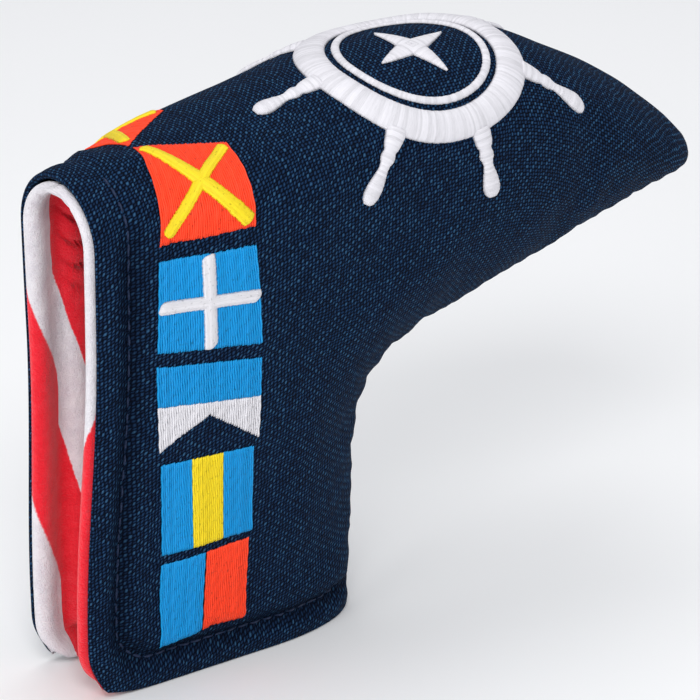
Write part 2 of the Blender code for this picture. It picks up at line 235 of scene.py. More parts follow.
def section_table():
    """Arc length and height down the front of the cover, for each X in whole millimetres."""
    rows = []
    toe_seam = SEAM_LINE[SEAM_LINE[:, 0] > SEAM[2][0] + 0.1]
    for x in range(0, 153):
        foot = 0 if x <= SEAM[2][0] else np.interp(x, toe_seam[:, 0], toe_seam[:, 1])
        z = foot + (ridge_height(x) - foot) * np.sin(np.linspace(math.pi / 2, 0, 160))
        y = half_thickness(np.full(160, float(x)), z)
        y[0] = 0
        length = np.concatenate([[0], np.cumsum(np.hypot(np.diff(y), np.diff(z)))])
        rows.append((length, z))
    return rows


SECTIONS = section_table()


def fall_to(x, z):
    """How far down the panel from the ridge the point (x, z) lies."""
    x = min(max(float(x), 0), 151.99)
    low = int(x)
    drop = float(ridge_height(x)) - z
    ends = [np.interp(drop, heights[0] - heights, length) for length, heights in SECTIONS[low : low + 2]]
    return float(ends[0] + (ends[1] - ends[0]) * (x - low))


# ---------------------------------------------------------------- meshes

def place(points):
    """Millimetres from the heel as metres in the shared frame."""
    return (np.asarray(points, float) - (CENTRE_X, 0, 0)) * MM


def grid_faces(rows, columns, flip=False, start=0):
    faces = []
    for i in range(rows - 1):
        for j in range(columns - 1):
            a = start + i * columns + j
            quad = (a, a + 1, a + columns + 1, a + columns)
            faces.append(quad[::-1] if flip else quad)
    return faces


def make_mesh(name, points, faces, surface, uvs):
    """A smooth-shaded object from points in millimetres; uvs has one row per face corner."""
    mesh = bpy.data.meshes.new(name)
    mesh.from_pydata(place(points).tolist(), [], faces)
    layer = mesh.uv_layers.new(name="cloth")
    layer.data.foreach_set("uv", np.asarray(uvs, np.float32).ravel())
    mesh.materials.append(surface)
    mesh.shade_smooth()
    made = bpy.data.objects.new(name, mesh)
    bpy.context.scene.collection.objects.link(made)
    return made


def corner_values(faces, values):
    return np.asarray(values)[np.concatenate([np.asarray(face) for face in faces])]


def soft_noise(points, size, seed):
    """Smooth noise from -1 to 1 at each point, with lumps about this many millimetres across."""
    flat = np.asarray(points).reshape(-1, 3) / size + (seed * 7.3, seed * 3.1, seed * 1.7)
    values = np.array([noise.noise(Vector(p)) for p in flat])
    return values.reshape(np.asarray(points).shape[:-1])


def bump_at(distance, centre, width):
    return np.exp(-(((distance - centre) / width) ** 2))


class Panel:
    """One half of the outer fabric, with its grid of points, normals and cloth places."""

    def __init__(self, side):
        self.side = side
        flat = flat_grid(0)
        x, z = flat[..., 0], flat[..., 1]
        half = closed_edges(half_thickness(x, z))
        rest = np.stack([x, -half, z], axis=-1)
        normals = half_normals(x, z)
        down = np.array([[fall_to(px, pz) for px, pz in row] for row in flat])
        rise = self.relief(rest * (1, side, 1), x, z)
        self.normals = normals * (1, side, 1)
        self.points = corner_warp(rest * (1, side, 1) + self.normals * rise[..., None])
        self.places = np.stack([x, down * side], axis=-1)
        # Painted shade in the stitched groove: how much the cloth is darkened there, fading out near the
        # ridge.
        fade = smooth(distance_to(RIDGE_LINE, x, z), 3, 16)
        self.groove_shade = fade * bump_at(margin_distance(x, z), GROOVE + 0.3, 2.2)

    @staticmethod
    def relief(points, x, z):
        """How far the padded fabric swells or sinks: stitched margin, sewn edge, soft folds."""
        margin = margin_distance(x, z)
        edge = distance_to(SEAM_LINE, x, z)
        top = distance_to(RIDGE_LINE, x, z)
        run = z - x
        wobble = soft_noise(points, 4.5, 1)
        puckers = np.sin(run * 2 * math.pi / 3.3 + 2 * wobble)
        rise = -1.7 * bump_at(margin, GROOVE, 1.6) * (1 + 0.25 * wobble)
        rise += 0.45 * bump_at(margin, 2.7, 1.6) + 0.45 * bump_at(margin, 10.8, 3.0)
        rise += 0.18 * puckers * bump_at(margin, GROOVE, 2.6)
        rise *= smooth(edge, 0, 7) * (0.25 + 0.75 * smooth(top, 3, 16))
        rise -= 0.5 * bump_at(edge, 0, 0.9)
        rise += 0.13 * np.sin((x + z) * 2 * math.pi / 5 + 3 * wobble) * np.exp(-edge / 5) * smooth(edge, 0, 2)
        inner = smooth(margin, 8, 16)
        rise += 0.45 * soft_noise(points, 17, 2) * inner + 0.15 * soft_noise(points, 8, 3) * inner
        # Folds fan out of the inner corner, where the sleeve turns from the shaft to the toe.
        from_corner = np.hypot(x - 74, z - 47)
        turn = np.arctan2(z - 47, x - 74)
        fan = np.sin(turn * 9 + 1.5 * wobble)
        return rise + 0.45 * fan * smooth(from_corner, 3, 10) * np.exp(-from_corner / 15)

    def rim(self):
        """Grid indices of the open edge, from the seam at the hem to the top of the heel."""
        return [(0, j) for j in range(ACROSS + 1)] + [(i, ACROSS) for i in range(1, SHAFT_LINES + 1)]

    def build(self, name, surface):
        """The fabric with its rolled-in edge."""
        rows, columns = self.points.shape[:2]
        points = [self.points.reshape(-1, 3)]
        places = [self.places.reshape(-1, 2)]
        faces = grid_faces(rows, columns, flip=self.side > 0)
        ring = self.rim()
        last = [i * columns + j for i, j in ring]
        edge = np.array([self.points[i, j] for i, j in ring])
        normal = np.array([self.normals[i, j] for i, j in ring])
        spot = np.array([self.places[i, j] for i, j in ring])
        share = smooth(np.arange(len(ring)), ACROSS - 1.5, ACROSS + 9)[:, None]
        out = (1 - share) * np.array([0, 0, -1.0]) + share * np.array([-1.0, 0, 0])
        out -= normal * (out * normal).sum(1)[:, None]
        out /= np.linalg.norm(out, axis=1)[:, None]
        run, before = 0.0, np.zeros(2)
        for outward, deep in ((0.3, 0.08), (0.52, 0.35), (0.55, 0.75), (0.4, 1.1), (0.1, 1.35), (-0.5, 1.45)):
            run += float(np.hypot(outward - before[0], deep - before[1]))
            before = np.array([outward, deep])
            points.append(edge + out * outward - normal * deep)
            places.append(spot + np.stack([out[:, 0] * run, -out[:, 2] * run * self.side], axis=1))
            start = sum(len(p) for p in points[:-1])
            row = list(range(start, start + len(ring)))
            for k in range(len(ring) - 1):
                quad = (last[k], row[k], row[k + 1], last[k + 1])
                faces.append(quad[::-1] if self.side > 0 else quad)
            last = row
        places = np.vstack(places)
        made = make_mesh(name, np.vstack(points), faces, surface, corner_values(faces, places))
        # How deep each point lies in the stitched groove, as painted shade that darkens the colour of the
        # cloth.
        groove_shade = np.zeros(len(places))
        groove_shade[: rows * columns] = self.groove_shade.ravel()
        shade = np.repeat(corner_values(faces, groove_shade)[:, None], 2, axis=1)
        made.data.uv_layers.new(name="groove_shade").data.foreach_set("uv", shade.astype(np.float32).ravel())
        return made


# The cloth pass: its size against millimetres, how many frames it runs, and the most it moves.
CLOTH_SCALE = 0.01
CLOTH_FRAMES = 16
CLOTH_LIMIT = 1.5


def settle(panels):
    """Lets the padding fill both panels out as cloth held along the open edge and the seam."""
    rows = list(range(0, SHAFT_LINES + TOE_LINES + 1, 3))
    columns = list(range(0, ACROSS + 1, 4))
    vertices, faces, grids, known = [], [], [], {}
    for panel in panels:
        index = np.zeros((len(rows), len(columns)), int)
        for i, row in enumerate(rows):
            for j, column in enumerate(columns):
                # Points in the same spot, as on the seam, the ridge and the toe, are one vertex.
                point = panel.points[row, column]
                spot = tuple(np.round(point, 2))
                if spot not in known:
                    known[spot] = len(vertices)
                    vertices.append(point * CLOTH_SCALE)
                index[i, j] = known[spot]
        grids.append(index)
        for i in range(len(rows) - 1):
            for j in range(len(columns) - 1):
                quad = (index[i, j], index[i, j + 1], index[i + 1, j + 1], index[i + 1, j])
                quad = tuple(int(v) for v in dict.fromkeys(quad))
                if len(quad) > 2:
                    faces.append(quad[::-1] if panel.side > 0 else quad)
    flat = np.array(vertices) / CLOTH_SCALE
    hold = 1 - smooth(rim_distance(flat[:, 0], flat[:, 2]), 7, 14)
    hold = np.maximum(hold, 1 - smooth(distance_to(SEAM_LINE, flat[:, 0], flat[:, 2]), 1, 4))
    mesh = bpy.data.meshes.new("cloth_pass")
    mesh.from_pydata(np.array(vertices).tolist(), [], faces)
    cloth = bpy.data.objects.new("cloth_pass", mesh)
    scene = bpy.context.scene
    scene.collection.objects.link(cloth)
    group = cloth.vertex_groups.new(name="hold")
    for vertex, weight in enumerate(hold):
        group.add([vertex], float(weight), "REPLACE")
    modifier = cloth.modifiers.new("cloth", "CLOTH")
    modifier.settings.vertex_group_mass = "hold"
    modifier.settings.quality = 6
    modifier.settings.mass = 0.3
    modifier.settings.tension_stiffness = 40
    modifier.settings.compression_stiffness = 40
    modifier.settings.bending_stiffness = 1.0
    modifier.settings.shrink_min = -0.012
    modifier.settings.use_pressure = True
    modifier.settings.uniform_pressure_force = 0.15
    modifier.settings.effector_weights.gravity = 0
    modifier.collision_settings.use_collision = False
    modifier.point_cache.frame_start = 1
    modifier.point_cache.frame_end = CLOTH_FRAMES
    for frame_number in range(1, CLOTH_FRAMES + 1):
        scene.frame_set(frame_number)
    done = cloth.evaluated_get(bpy.context.evaluated_depsgraph_get()).to_mesh()
    moved = np.array([vertex.co for vertex in done.vertices])
    change = (moved - np.array(vertices)) / CLOTH_SCALE
    size = np.linalg.norm(change, axis=1, keepdims=True)
    change = change / (1 + size / CLOTH_LIMIT)
    scene.frame_set(1)
    bpy.data.objects.remove(cloth)
    bpy.data.meshes.remove(mesh)
    for panel, index in zip(panels, grids):
        coarse = change[index]
        count = panel.points.shape
        tall = np.stack([[np.interp(np.arange(count[0]), rows, coarse[:, j, k]) for k in range(3)]
                         for j in range(len(columns))])
        for i in range(count[0]):
            for k in range(3):
                panel.points[i, :, k] += np.interp(np.arange(count[1]), columns, tall[:, k, i])


class Skin:
    """Both panels as one sheet of cloth places, to sew embroidery on."""

    def __init__(self, panels):
        self.places, self.points, self.normals, triangles, start = [], [], [], [], 0
        for panel in panels:
            rows, columns = panel.points.shape[:2]
            self.places.append(panel.places.reshape(-1, 2))
            self.points.append(panel.points.reshape(-1, 3))
            self.normals.append(panel.normals.reshape(-1, 3))
            for a, b, c, d in grid_faces(rows, columns, start=start):
                triangles += [(a, b, c), (a, c, d)]
            start += rows * columns
        self.places, self.points, self.normals = map(np.vstack, (self.places, self.points, self.normals))
        self.triangles = np.array(triangles)
        flat = np.column_stack([self.places, np.zeros(len(self.places))])
        self.tree = BVHTree.FromPolygons(flat.tolist(), triangles)

    def lift(self, places, heights):
        """Points of the cover at these cloth places, each its height above the fabric."""
        places = np.asarray(places, float)
        hits = [self.tree.find_nearest(Vector((u, v, 0)))[2] for u, v in places]
        corners = self.triangles[hits]
        a, b, c = (self.places[corners[:, k]] for k in range(3))
        ab, ac, ap = b - a, c - a, places - a
        area = ab[:, 0] * ac[:, 1] - ab[:, 1] * ac[:, 0]
        area = np.where(np.abs(area) < 1e-9, 1e-9, area)
        wb = (ap[:, 0] * ac[:, 1] - ap[:, 1] * ac[:, 0]) / area
        wc = (ab[:, 0] * ap[:, 1] - ab[:, 1] * ap[:, 0]) / area
        weights = np.clip(np.stack([1 - wb - wc, wb, wc]), 0, 1)
        weights /= weights.sum(0)
        point = sum(weights[k][:, None] * self.points[corners[:, k]] for k in range(3))
        normal = sum(weights[k][:, None] * self.normals[corners[:, k]] for k in range(3))
        normal /= np.linalg.norm(normal, axis=1)[:, None]
        return point + normal * np.asarray(heights)[:, None]


# ---------------------------------------------------------------- materials

class Graph:
    """A Principled material and short words for the nodes that feed it."""

    def __init__(self, name, **constants):
        self.material = bpy.data.materials.new(name)
        self.material.use_nodes = True
        self.tree = self.material.node_tree
        self.shader = self.tree.nodes["Principled BSDF"]
        for socket, value in constants.items():
            self.shader.inputs[socket.replace("_", " ")].default_value = value

    def node(self, kind, inputs=None, **settings):
        made = self.tree.nodes.new(kind)
        for key, value in settings.items():
            setattr(made, key, value)
        for key, value in (inputs or {}).items():
            if isinstance(value, bpy.types.NodeSocket):
                self.tree.links.new(value, made.inputs[key])
            else:
                made.inputs[key].default_value = value
        return made

    def math(self, operation, *values, clamp=False):
        made = self.node("ShaderNodeMath", dict(enumerate(values)), operation=operation, use_clamp=clamp)
        return made.outputs[0]

    def cloth(self):
        """The cloth place in millimetres, as two sockets and as a vector."""
        uv = self.node("ShaderNodeUVMap", uv_map="cloth").outputs[0]
        split = self.node("ShaderNodeSeparateXYZ", {0: uv})
        return split.outputs[0], split.outputs[1], uv

    def vector(self, x, y, z=0.0):
        return self.node("ShaderNodeCombineXYZ", {0: x, 1: y, 2: z}).outputs[0]

    def noise(self, vector, scale, detail=2.0, roughness=0.5):
        inputs = {"Vector": vector, "Scale": scale, "Detail": detail, "Roughness": roughness}
        return self.node("ShaderNodeTexNoise", inputs).outputs[0]

    def random(self, value):
        return self.node("ShaderNodeTexWhiteNoise", {"W": value}, noise_dimensions="1D").outputs[0]

    def ramp(self, value, stops):
        made = self.node("ShaderNodeValToRGB", {0: value})
        elements = made.color_ramp.elements
        while len(elements) < len(stops):
            elements.new(0.5)
        for element, (position, colour) in zip(elements, stops):
            element.position = position
            element.color = (*colour, 1)
        return made.outputs[0]

    def mix(self, share, a, b, blend="MIX"):
        made = self.node("ShaderNodeMix", {0: share}, data_type="RGBA", blend_type=blend)
        for index, value in ((6, a), (7, b)):
            if isinstance(value, bpy.types.NodeSocket):
                self.tree.links.new(value, made.inputs[index])
            else:
                made.inputs[index].default_value = (*value, 1)
        return made.outputs[2]

    def finish(self, colour=None, roughness=None, height=None, distance=0.0002, strength=1.0):
        if colour is not None:
            self.tree.links.new(colour, self.shader.inputs["Base Color"])
        if roughness is not None:
            self.tree.links.new(roughness, self.shader.inputs["Roughness"])
        if height is not None:
            inputs = {"Height": height, "Distance": distance, "Strength": strength}
            bump = self.node("ShaderNodeBump", inputs)
            self.tree.links.new(bump.outputs[0], self.shader.inputs["Normal"])
        return self.material


def srgb(*colour):
    """Linear colour from 0-255 sRGB."""
    shares = [value / 255 for value in colour]
    return tuple(c / 12.92 if c <= 0.04045 else ((c + 0.055) / 1.055) ** 2.4 for c in shares)


YARN = 0.73


def woven_navy():
    """Coarse plain weave of navy yarn: slanting floats down the panel, with painted highlights on the float
    tops and painted shade in the gaps between them.
    """
    g = Graph("navy_weave", Specular_IOR_Level=0.05)
    u, v, uv = g.cloth()
    drift = g.math("SUBTRACT", g.noise(uv, 0.22, 2.0), 0.5)
    u = g.math("ADD", g.math("DIVIDE", u, YARN), g.math("MULTIPLY", drift, 1.8))
    v = g.math("ADD", g.math("DIVIDE", v, YARN), g.math("MULTIPLY", drift, 1.2))
    slant = g.math("MULTIPLY_ADD", g.math("FRACT", v), 0.3, -0.15)
    over_u = g.math("SINE", g.math("MULTIPLY", g.math("FRACT", g.math("ADD", u, slant)), math.pi))
    over_v = g.math("SINE", g.math("MULTIPLY", g.math("FRACT", v), math.pi))
    column, row = g.math("FLOOR", g.math("ADD", u, slant)), g.math("FLOOR", v)
    odd = g.math("MODULO", g.math("ABSOLUTE", g.math("ADD", column, row)), 2.0)
    warp = g.math("MULTIPLY", g.math("POWER", over_u, 0.45), g.math("MULTIPLY_ADD", over_v, 0.3, 0.72))
    weft = g.math("MULTIPLY", g.math("POWER", over_v, 0.6), g.math("MULTIPLY_ADD", over_u, 0.42, 0.5))
    high = g.math("ADD", g.math("MULTIPLY", warp, g.math("SUBTRACT", 1.0, odd)),
                  g.math("MULTIPLY", g.math("MULTIPLY", weft, 0.9), odd))
    fibre = g.noise(g.vector(g.math("MULTIPLY", u, 5.0), g.math("MULTIPLY", v, 1.3)), 1.0, 2.0, 0.6)
    own = g.random(g.math("ADD", g.math("MULTIPLY", column, 1.37), g.math("MULTIPLY", row, 57.11)))
    shade = g.math("ADD", g.math("MULTIPLY", high, g.math("MULTIPLY_ADD", own, 0.3, 0.75)),
                   g.math("MULTIPLY_ADD", fibre, 0.3, -0.15))
    # The yarn colour follows the float height: painted highlights on the tops of the floats and painted shade
    # in the gaps.
    colour = g.ramp(shade, [(0.36, srgb(2, 6, 15)), (0.56, srgb(11, 27, 51)), (0.8, srgb(27, 56, 90)),
                            (1.0, srgb(54, 94, 126))])
    # Painted shade: the cloth is darkened towards near-black navy in the stitched groove.
    groove_shade = g.node("ShaderNodeUVMap", uv_map="groove_shade").outputs[0]
    groove_shade = g.node("ShaderNodeSeparateXYZ", {0: groove_shade}).outputs[0]
    colour = g.mix(g.math("MULTIPLY", groove_shade, 0.6), colour, srgb(3, 8, 22))
    patches = g.noise(uv, 0.05, 3.0, 0.6)
    colour = g.mix(g.math("MULTIPLY", patches, 0.2), colour, srgb(16, 32, 62))
    height = g.math("ADD", high, g.math("MULTIPLY", fibre, 0.22))
    rough = g.math("MULTIPLY_ADD", own, 0.15, 0.72)
    return g.finish(colour, rough, height, 0.0004, 1.0)


def striped_plush():
    """Short-pile plush in diagonal red and white stripes; u counts stripes and v is millimetres."""
    g = Graph("plush", Sheen_Weight=0.35, Sheen_Roughness=0.5, Specular_IOR_Level=0.15, Roughness=0.95)
    stripe, _, _ = g.cloth()
    spot = g.node("ShaderNodeUVMap", uv_map="pile").outputs[0]
    ragged = g.math("MULTIPLY_ADD", g.noise(spot, 1.6, 3.0, 0.7), 0.06, -0.03)
    part = g.math("FRACT", g.math("MULTIPLY", g.math("ADD", stripe, ragged), 0.5))
    # 0 to half is red, half to 1 is white, with a short soft step at both ends.
    rising, falling = (
        g.node("ShaderNodeMapRange", {0: part, 1: low, 2: high}, interpolation_type="SMOOTHSTEP").outputs[0]
        for low, high in ((0.49, 0.51), (0.985, 1.0)))
    white = g.math("SUBTRACT", rising, falling, clamp=True)
    pile = g.noise(spot, 3.2, 3.0, 0.65)
    mottle = g.noise(spot, 0.35, 3.0, 0.55)
    red = g.ramp(g.math("ADD", g.math("MULTIPLY", pile, 0.6), g.math("MULTIPLY", mottle, 0.4)),
                 [(0.25, srgb(222, 6, 28)), (0.5, srgb(252, 20, 44)), (0.75, srgb(255, 66, 78))])
    pale = g.ramp(g.math("ADD", g.math("MULTIPLY", pile, 0.5), g.math("MULTIPLY", mottle, 0.5)),
                  [(0.25, srgb(214, 206, 216)), (0.5, srgb(238, 234, 239)), (0.75, srgb(252, 250, 252))])
    colour = g.mix(white, red, pale)
    height = g.math("ADD", pile, g.math("MULTIPLY", g.noise(spot, 1.1, 2.0, 0.5), 0.8))
    return g.finish(colour, None, height, 0.0005, 0.8)


def stitched(name, tone, holes=1.0):
    """Glossy embroidery thread; u runs across the threads and v along them, in millimetres. Dark pits between
    the threads are painted shade, and holes sets how much of it shows.
    """
    g = Graph(name, Specular_IOR_Level=0.25, Anisotropic=0.4)
    u, v, _ = g.cloth()
    ply = g.noise(g.vector(g.math("MULTIPLY", u, 9.0), g.math("MULTIPLY", v, 0.5)), 1.0, 2.0, 0.6)
    own = g.random(g.math("FLOOR", g.math("MULTIPLY", u, 2.3)))
    # Painted shade: noise-placed specks at half the thread's tone, as shadow in small pits between the
    # threads.
    pit_shade = g.noise(g.vector(g.math("MULTIPLY", u, 2.2), g.math("MULTIPLY", v, 1.1), 3.0), 1.0, 2.0, 0.5)
    pit_shade = g.node("ShaderNodeMapRange", {0: pit_shade, 1: 0.24, 2: 0.4, 3: 1 - holes, 4: 1.0}).outputs[0]
    dark = tuple(c * 0.5 for c in tone)
    light = tuple(min(c * 1.12 + 0.012, 1) for c in tone)
    shade = g.math("ADD", g.math("MULTIPLY", ply, 0.65), g.math("MULTIPLY", own, 0.35))
    colour = g.ramp(shade, [(0.2, tuple(c * 0.8 for c in tone)), (0.5, tone), (0.8, light)])
    colour = g.mix(pit_shade, dark, colour)
    rough = g.math("MULTIPLY_ADD", ply, 0.25, 0.4)
    return g.finish(colour, rough, ply, 0.00012, 0.6)


def brushed_steel():
    g = Graph("brushed_steel", Metallic=1.0)
    spot = g.node("ShaderNodeTexCoord").outputs["Object"]
    grain = g.noise(spot, 900.0, 3.0, 0.6)
    colour = g.ramp(grain, [(0.3, (0.42, 0.43, 0.45)), (0.7, (0.62, 0.63, 0.66))])
    return g.finish(colour, g.math("MULTIPLY_ADD", grain, 0.2, 0.25), grain, 0.00005, 0.4)


# ---------------------------------------------------------------- camera, floor and light

def stage():
    scene = bpy.context.scene
    scene.view_settings.view_transform = "Standard"
    target = Vector((-0.0081, 0, 0.0533))
    azimuth, elevation, distance = math.radians(36), math.radians(22), 0.6615
    towards = Vector((-math.sin(azimuth) * math.cos(elevation), -math.cos(azimuth) * math.cos(elevation),
                      math.sin(elevation)))
    camera_data = bpy.data.cameras.new("camera")
    camera_data.lens = 172.07
    camera_data.clip_start = 0.01
    camera = bpy.data.objects.new("camera", camera_data)
    camera.location = target + towards * distance
    camera.rotation_euler = (-towards).to_track_quat("-Z", "Y").to_euler()
    scene.collection.objects.link(camera)
    scene.camera = camera

    floor_data = bpy.data.meshes.new("floor")
    size = 4.0
    corners = [(-size, -size, 0), (size, -size, 0), (size, size, 0), (-size, size, 0)]
    floor_data.from_pydata(corners, [], [(0, 1, 2, 3)])
    g = Graph("floor", Roughness=0.85)
    spot = g.node("ShaderNodeTexCoord").outputs["Object"]
    pale = g.ramp(g.noise(spot, 3.0), [(0.3, (0.93,) * 3), (0.7, (0.95,) * 3)])
    floor_data.materials.append(g.finish(pale))
    floor = bpy.data.objects.new("floor", floor_data)
    scene.collection.objects.link(floor)

    world = bpy.data.worlds.new("studio")
    scene.world = world
    world.use_nodes = True
    world.node_tree.nodes["Background"].inputs[0].default_value = (0.93, 0.95, 1.0, 1)
    world.node_tree.nodes["Background"].inputs[1].default_value = 0.5
    lamps = {
        "key": ((-0.55, -0.75, 0.95), 0.5, 5.6),
        "fill": ((0.9, -0.7, 0.55), 0.9, 2.0),
        "top": ((0.1, 0.25, 1.2), 0.9, 4.2),
        "heel": ((-1.0, -0.28, 0.38), 0.5, 3.4),
    }
    for name, (location, width, power) in lamps.items():
        data = bpy.data.lights.new(name, "AREA")
        data.shape = "DISK"
        data.size = width
        data.energy = power
        lamp = bpy.data.objects.new(name, data)
        lamp.location = location
        lamp.rotation_euler = (Vector((0, 0, 0.06)) - Vector(location)).to_track_quat("-Z", "Y").to_euler()
        scene.collection.objects.link(lamp)


# ---------------------------------------------------------------- plush lining

# From the navy edge inwards: place on the grid, distance from the edge, depth below the fabric.
PLUSH_ROLL = [(0, 0.9, 1.8), (0.3, 0.1, 1.85), (0.8, -0.75, 2.2), (1.5, -1.2, 3.0), (2.3, -0.8, 4.1),
              (3.2, 0.8, 4.9), (4.2, 2.6, 4.6), (5.0, 4.3, 3.5), (5.7, 5.7, 2.4), (6.4, 6.6, 3.0),
              (8, 8.2, 4.5), (11, 11, 5.7), (15, 15, 6.0)]
CREASE = 5.7


def build_lining(name, side, surface):
    """The plush inside of one panel, from the roll at the open edge to the end of the toe."""
    profile = curve_through(PLUSH_ROLL)
    outer, inner = flat_grid(0), flat_grid(LINING_DEPTH)
    x, z = outer[..., 0], outer[..., 1]
    # The open edge of this grid, carried on past both of its ends.
    rim = np.vstack([[[HEEL_LEAN, 115]], outer[SHAFT_LINES::-1, -1], outer[0, -2::-1], [[75, HEM_RISE]]])
    start = distance_to(rim, x, z)
    depth = np.interp(start, profile[:, 0], profile[:, 2])
    moved = np.where(start < profile[-1, 0], np.interp(start, profile[:, 0], profile[:, 1]), start)
    at_heel = smooth(z, 0.5, 5)
    moved = np.where(moved < 0.5, 0.5 + (moved - 0.5) * at_heel, moved)
    step = 0.05
    inward = np.stack([distance_to(rim, x + step, z) - distance_to(rim, x - step, z),
                       distance_to(rim, x, z + step) - distance_to(rim, x, z - step)], axis=-1)
    inward /= np.linalg.norm(inward, axis=-1, keepdims=True) + 1e-9
    flat = outer + (inner - outer) * (depth / LINING_DEPTH)[..., None]
    half = closed_edges(half_thickness(flat[..., 0], flat[..., 1], depth))
    normals = np.nan_to_num(half_normals(flat[..., 0], flat[..., 1], depth)) * (1, side, 1)
    flat = flat + inward * np.clip(moved - start, -3, 3)[..., None] * smooth(60 - start, 0, 20)[..., None]
    points = np.stack([flat[..., 0], -side * half, flat[..., 1]], axis=-1)
    # Loose folds across the lining below the ridge, and small lumps everywhere.
    loose = smooth(start, 5.2, 9) * smooth(z, 72, 84) * smooth(60 - x, 0, 20)
    phase = z * math.pi / 4.6 + x * 0.15 + soft_noise(points, 6, 5) * 0.7
    folds = 1.5 * np.exp(-((np.sin(phase) / 0.32) ** 2)) - 0.4
    lumps = 0.3 * soft_noise(points, 5, 6) + 0.18 * soft_noise(points, 2.4, 7)
    inner_swell = (loose * folds + lumps * smooth(start, 2, 5)) * smooth(half, 0.2, 2.5)
    points = points + normals * inner_swell[..., None]

    length = np.concatenate([[0], np.cumsum(np.hypot(*np.diff(profile[:, 1:], axis=0).T))])
    from_heel = np.clip(x - heel_edge(z), 0, None)
    across = np.interp(from_heel, profile[:, 0], length) + np.clip(from_heel - profile[-1, 0], 0, None)
    crease_length = float(np.interp(CREASE, profile[:, 0], length))
    if side > 0:
        roll = np.clip((61.0 - (z + 2.33 * across)) / 43.7, -0.5, 0.7)
        beyond = (80.0 - (z + 2.6 * (across - crease_length))) / 38
    else:
        roll = np.clip((85.5 - (z + 2.33 * across)) / 42.0, -0.5, 1.5)
        beyond = (80.2 - (z + 2.6 * (across - crease_length))) / 31 + 1
        beyond = np.where(beyond > 2, 2 + (beyond - 2) * 31 / 46, beyond)
    rows, columns = start.shape
    faces = grid_faces(rows, columns, flip=side < 0)
    order = np.array(faces)
    middle = from_heel.ravel()[order].mean(1)
    stripes = np.where((middle < CREASE)[:, None], roll.ravel()[order], beyond.ravel()[order])
    pile = np.stack([across, z - 0.3 * x], axis=-1).reshape(-1, 2)[order.ravel()]
    uvs = np.stack([stripes.ravel(), pile[:, 1]], axis=1)
    made = make_mesh(name, corner_warp(points).reshape(-1, 3), faces, surface, uvs)
    layer = made.data.uv_layers.new(name="pile")
    layer.data.foreach_set("uv", pile.astype(np.float32).ravel())
    return made


# ---------------------------------------------------------------- embroidery

THREAD_PROFILE = [(-1, 0.0), (-0.75, 0.6), (-0.3, 0.95), (0.3, 0.95), (0.75, 0.6), (1, 0.0)]


class Needle:
    """Gathers strands of thread on the skin and turns them into one piece."""

    def __init__(self, skin):
        self.skin = skin
        self.places, self.heights, self.faces, self.uvs = [], [], [], []

    def strand(self, centres, halves, heights, base=0.05, closed=False, across=0.0, profile=THREAD_PROFILE):
        """A domed strip along the centres; across is the place of its threads for the material."""
        centres = np.asarray(centres, float)
        count, width = len(centres), len(profile)
        if closed:
            tangent = np.roll(centres, -1, axis=0) - np.roll(centres, 1, axis=0)
        else:
            tangent = np.gradient(centres, axis=0)
        tangent /= np.linalg.norm(tangent, axis=1)[:, None] + 1e-12
        sideways = np.stack([-tangent[:, 1], tangent[:, 0]], axis=1)
        halves = np.broadcast_to(halves, count)
        heights = np.broadcast_to(heights, count)
        start = len(self.places)
        run = np.concatenate([[0], np.cumsum(np.linalg.norm(np.diff(centres, axis=0), axis=1))])
        values = []
        for k in range(count):
            for a, b in profile:
                self.places.append(centres[k] + sideways[k] * halves[k] * a)
                self.heights.append(base + heights[k] * b)
                values.append((across + a * halves[k], run[k]))
        for k in range(count if closed else count - 1):
            a, b = start + k * width, start + (k + 1) % count * width
            for m in range(width):
                n = (m + 1) % width
                corners = (a + m, a + n, b + n, b + m)
                self.faces.append(corners)
                self.uvs += [values[c - start] for c in corners]
        if not closed:
            for face in (list(range(start, start + width))[::-1],
                         list(range(start + (count - 1) * width, start + count * width))):
                self.faces.append(tuple(face))
                self.uvs += [values[c - start] for c in face]

    def piece(self, name, surface, swap=False):
        points = self.skin.lift(np.array(self.places), np.array(self.heights))
        uvs = np.array(self.uvs)
        return make_mesh(name, points, self.faces, surface, uvs[:, ::-1] if swap else uvs)


def crossings(outline, a):
    """Where the line at this distance across enters and leaves the outline, down the flag."""
    found = []
    for (a1, d1), (a2, d2) in zip(outline, outline[1:] + outline[:1]):
        if (a1 <= a) != (a2 <= a):
            found.append(d1 + (d2 - d1) * (a - a1) / (a2 - a1))
    found.sort()
    return list(zip(found[::2], found[1::2]))


def fill_stitch(needle, outline, to_place, rng, pitch=0.42, height=0.34):
    """Columns of stitches down a flag's field, with ragged ends and staggered needle holes."""
    low, high = min(a for a, _ in outline), max(a for a, _ in outline)
    for k in range(int((high - low) / pitch)):
        a = low + (k + 0.5) * pitch
        for d1, d2 in crossings(outline, a):
            d1, d2 = d1 + rng.uniform(-0.12, 0.12), d2 + rng.uniform(-0.12, 0.12)
            if d2 - d1 < 0.6:
                continue
            down = np.linspace(d1, d2, max(int((d2 - d1) / 0.62), 2) + 1)
            sway = 0.05 * np.sin(down * 1.7 + k)
            tall = height * (0.86 + 0.14 * np.cos((down + (k % 4) * 0.95) * 2 * math.pi / 3.8))
            tall = tall * (1 + rng.uniform(-0.12, 0.12))
            tall[[0, -1]] *= 0.55
            centres = [to_place(a + s, d) for s, d in zip(sway, down)]
            needle.strand(centres, pitch * 0.56, tall, across=a)


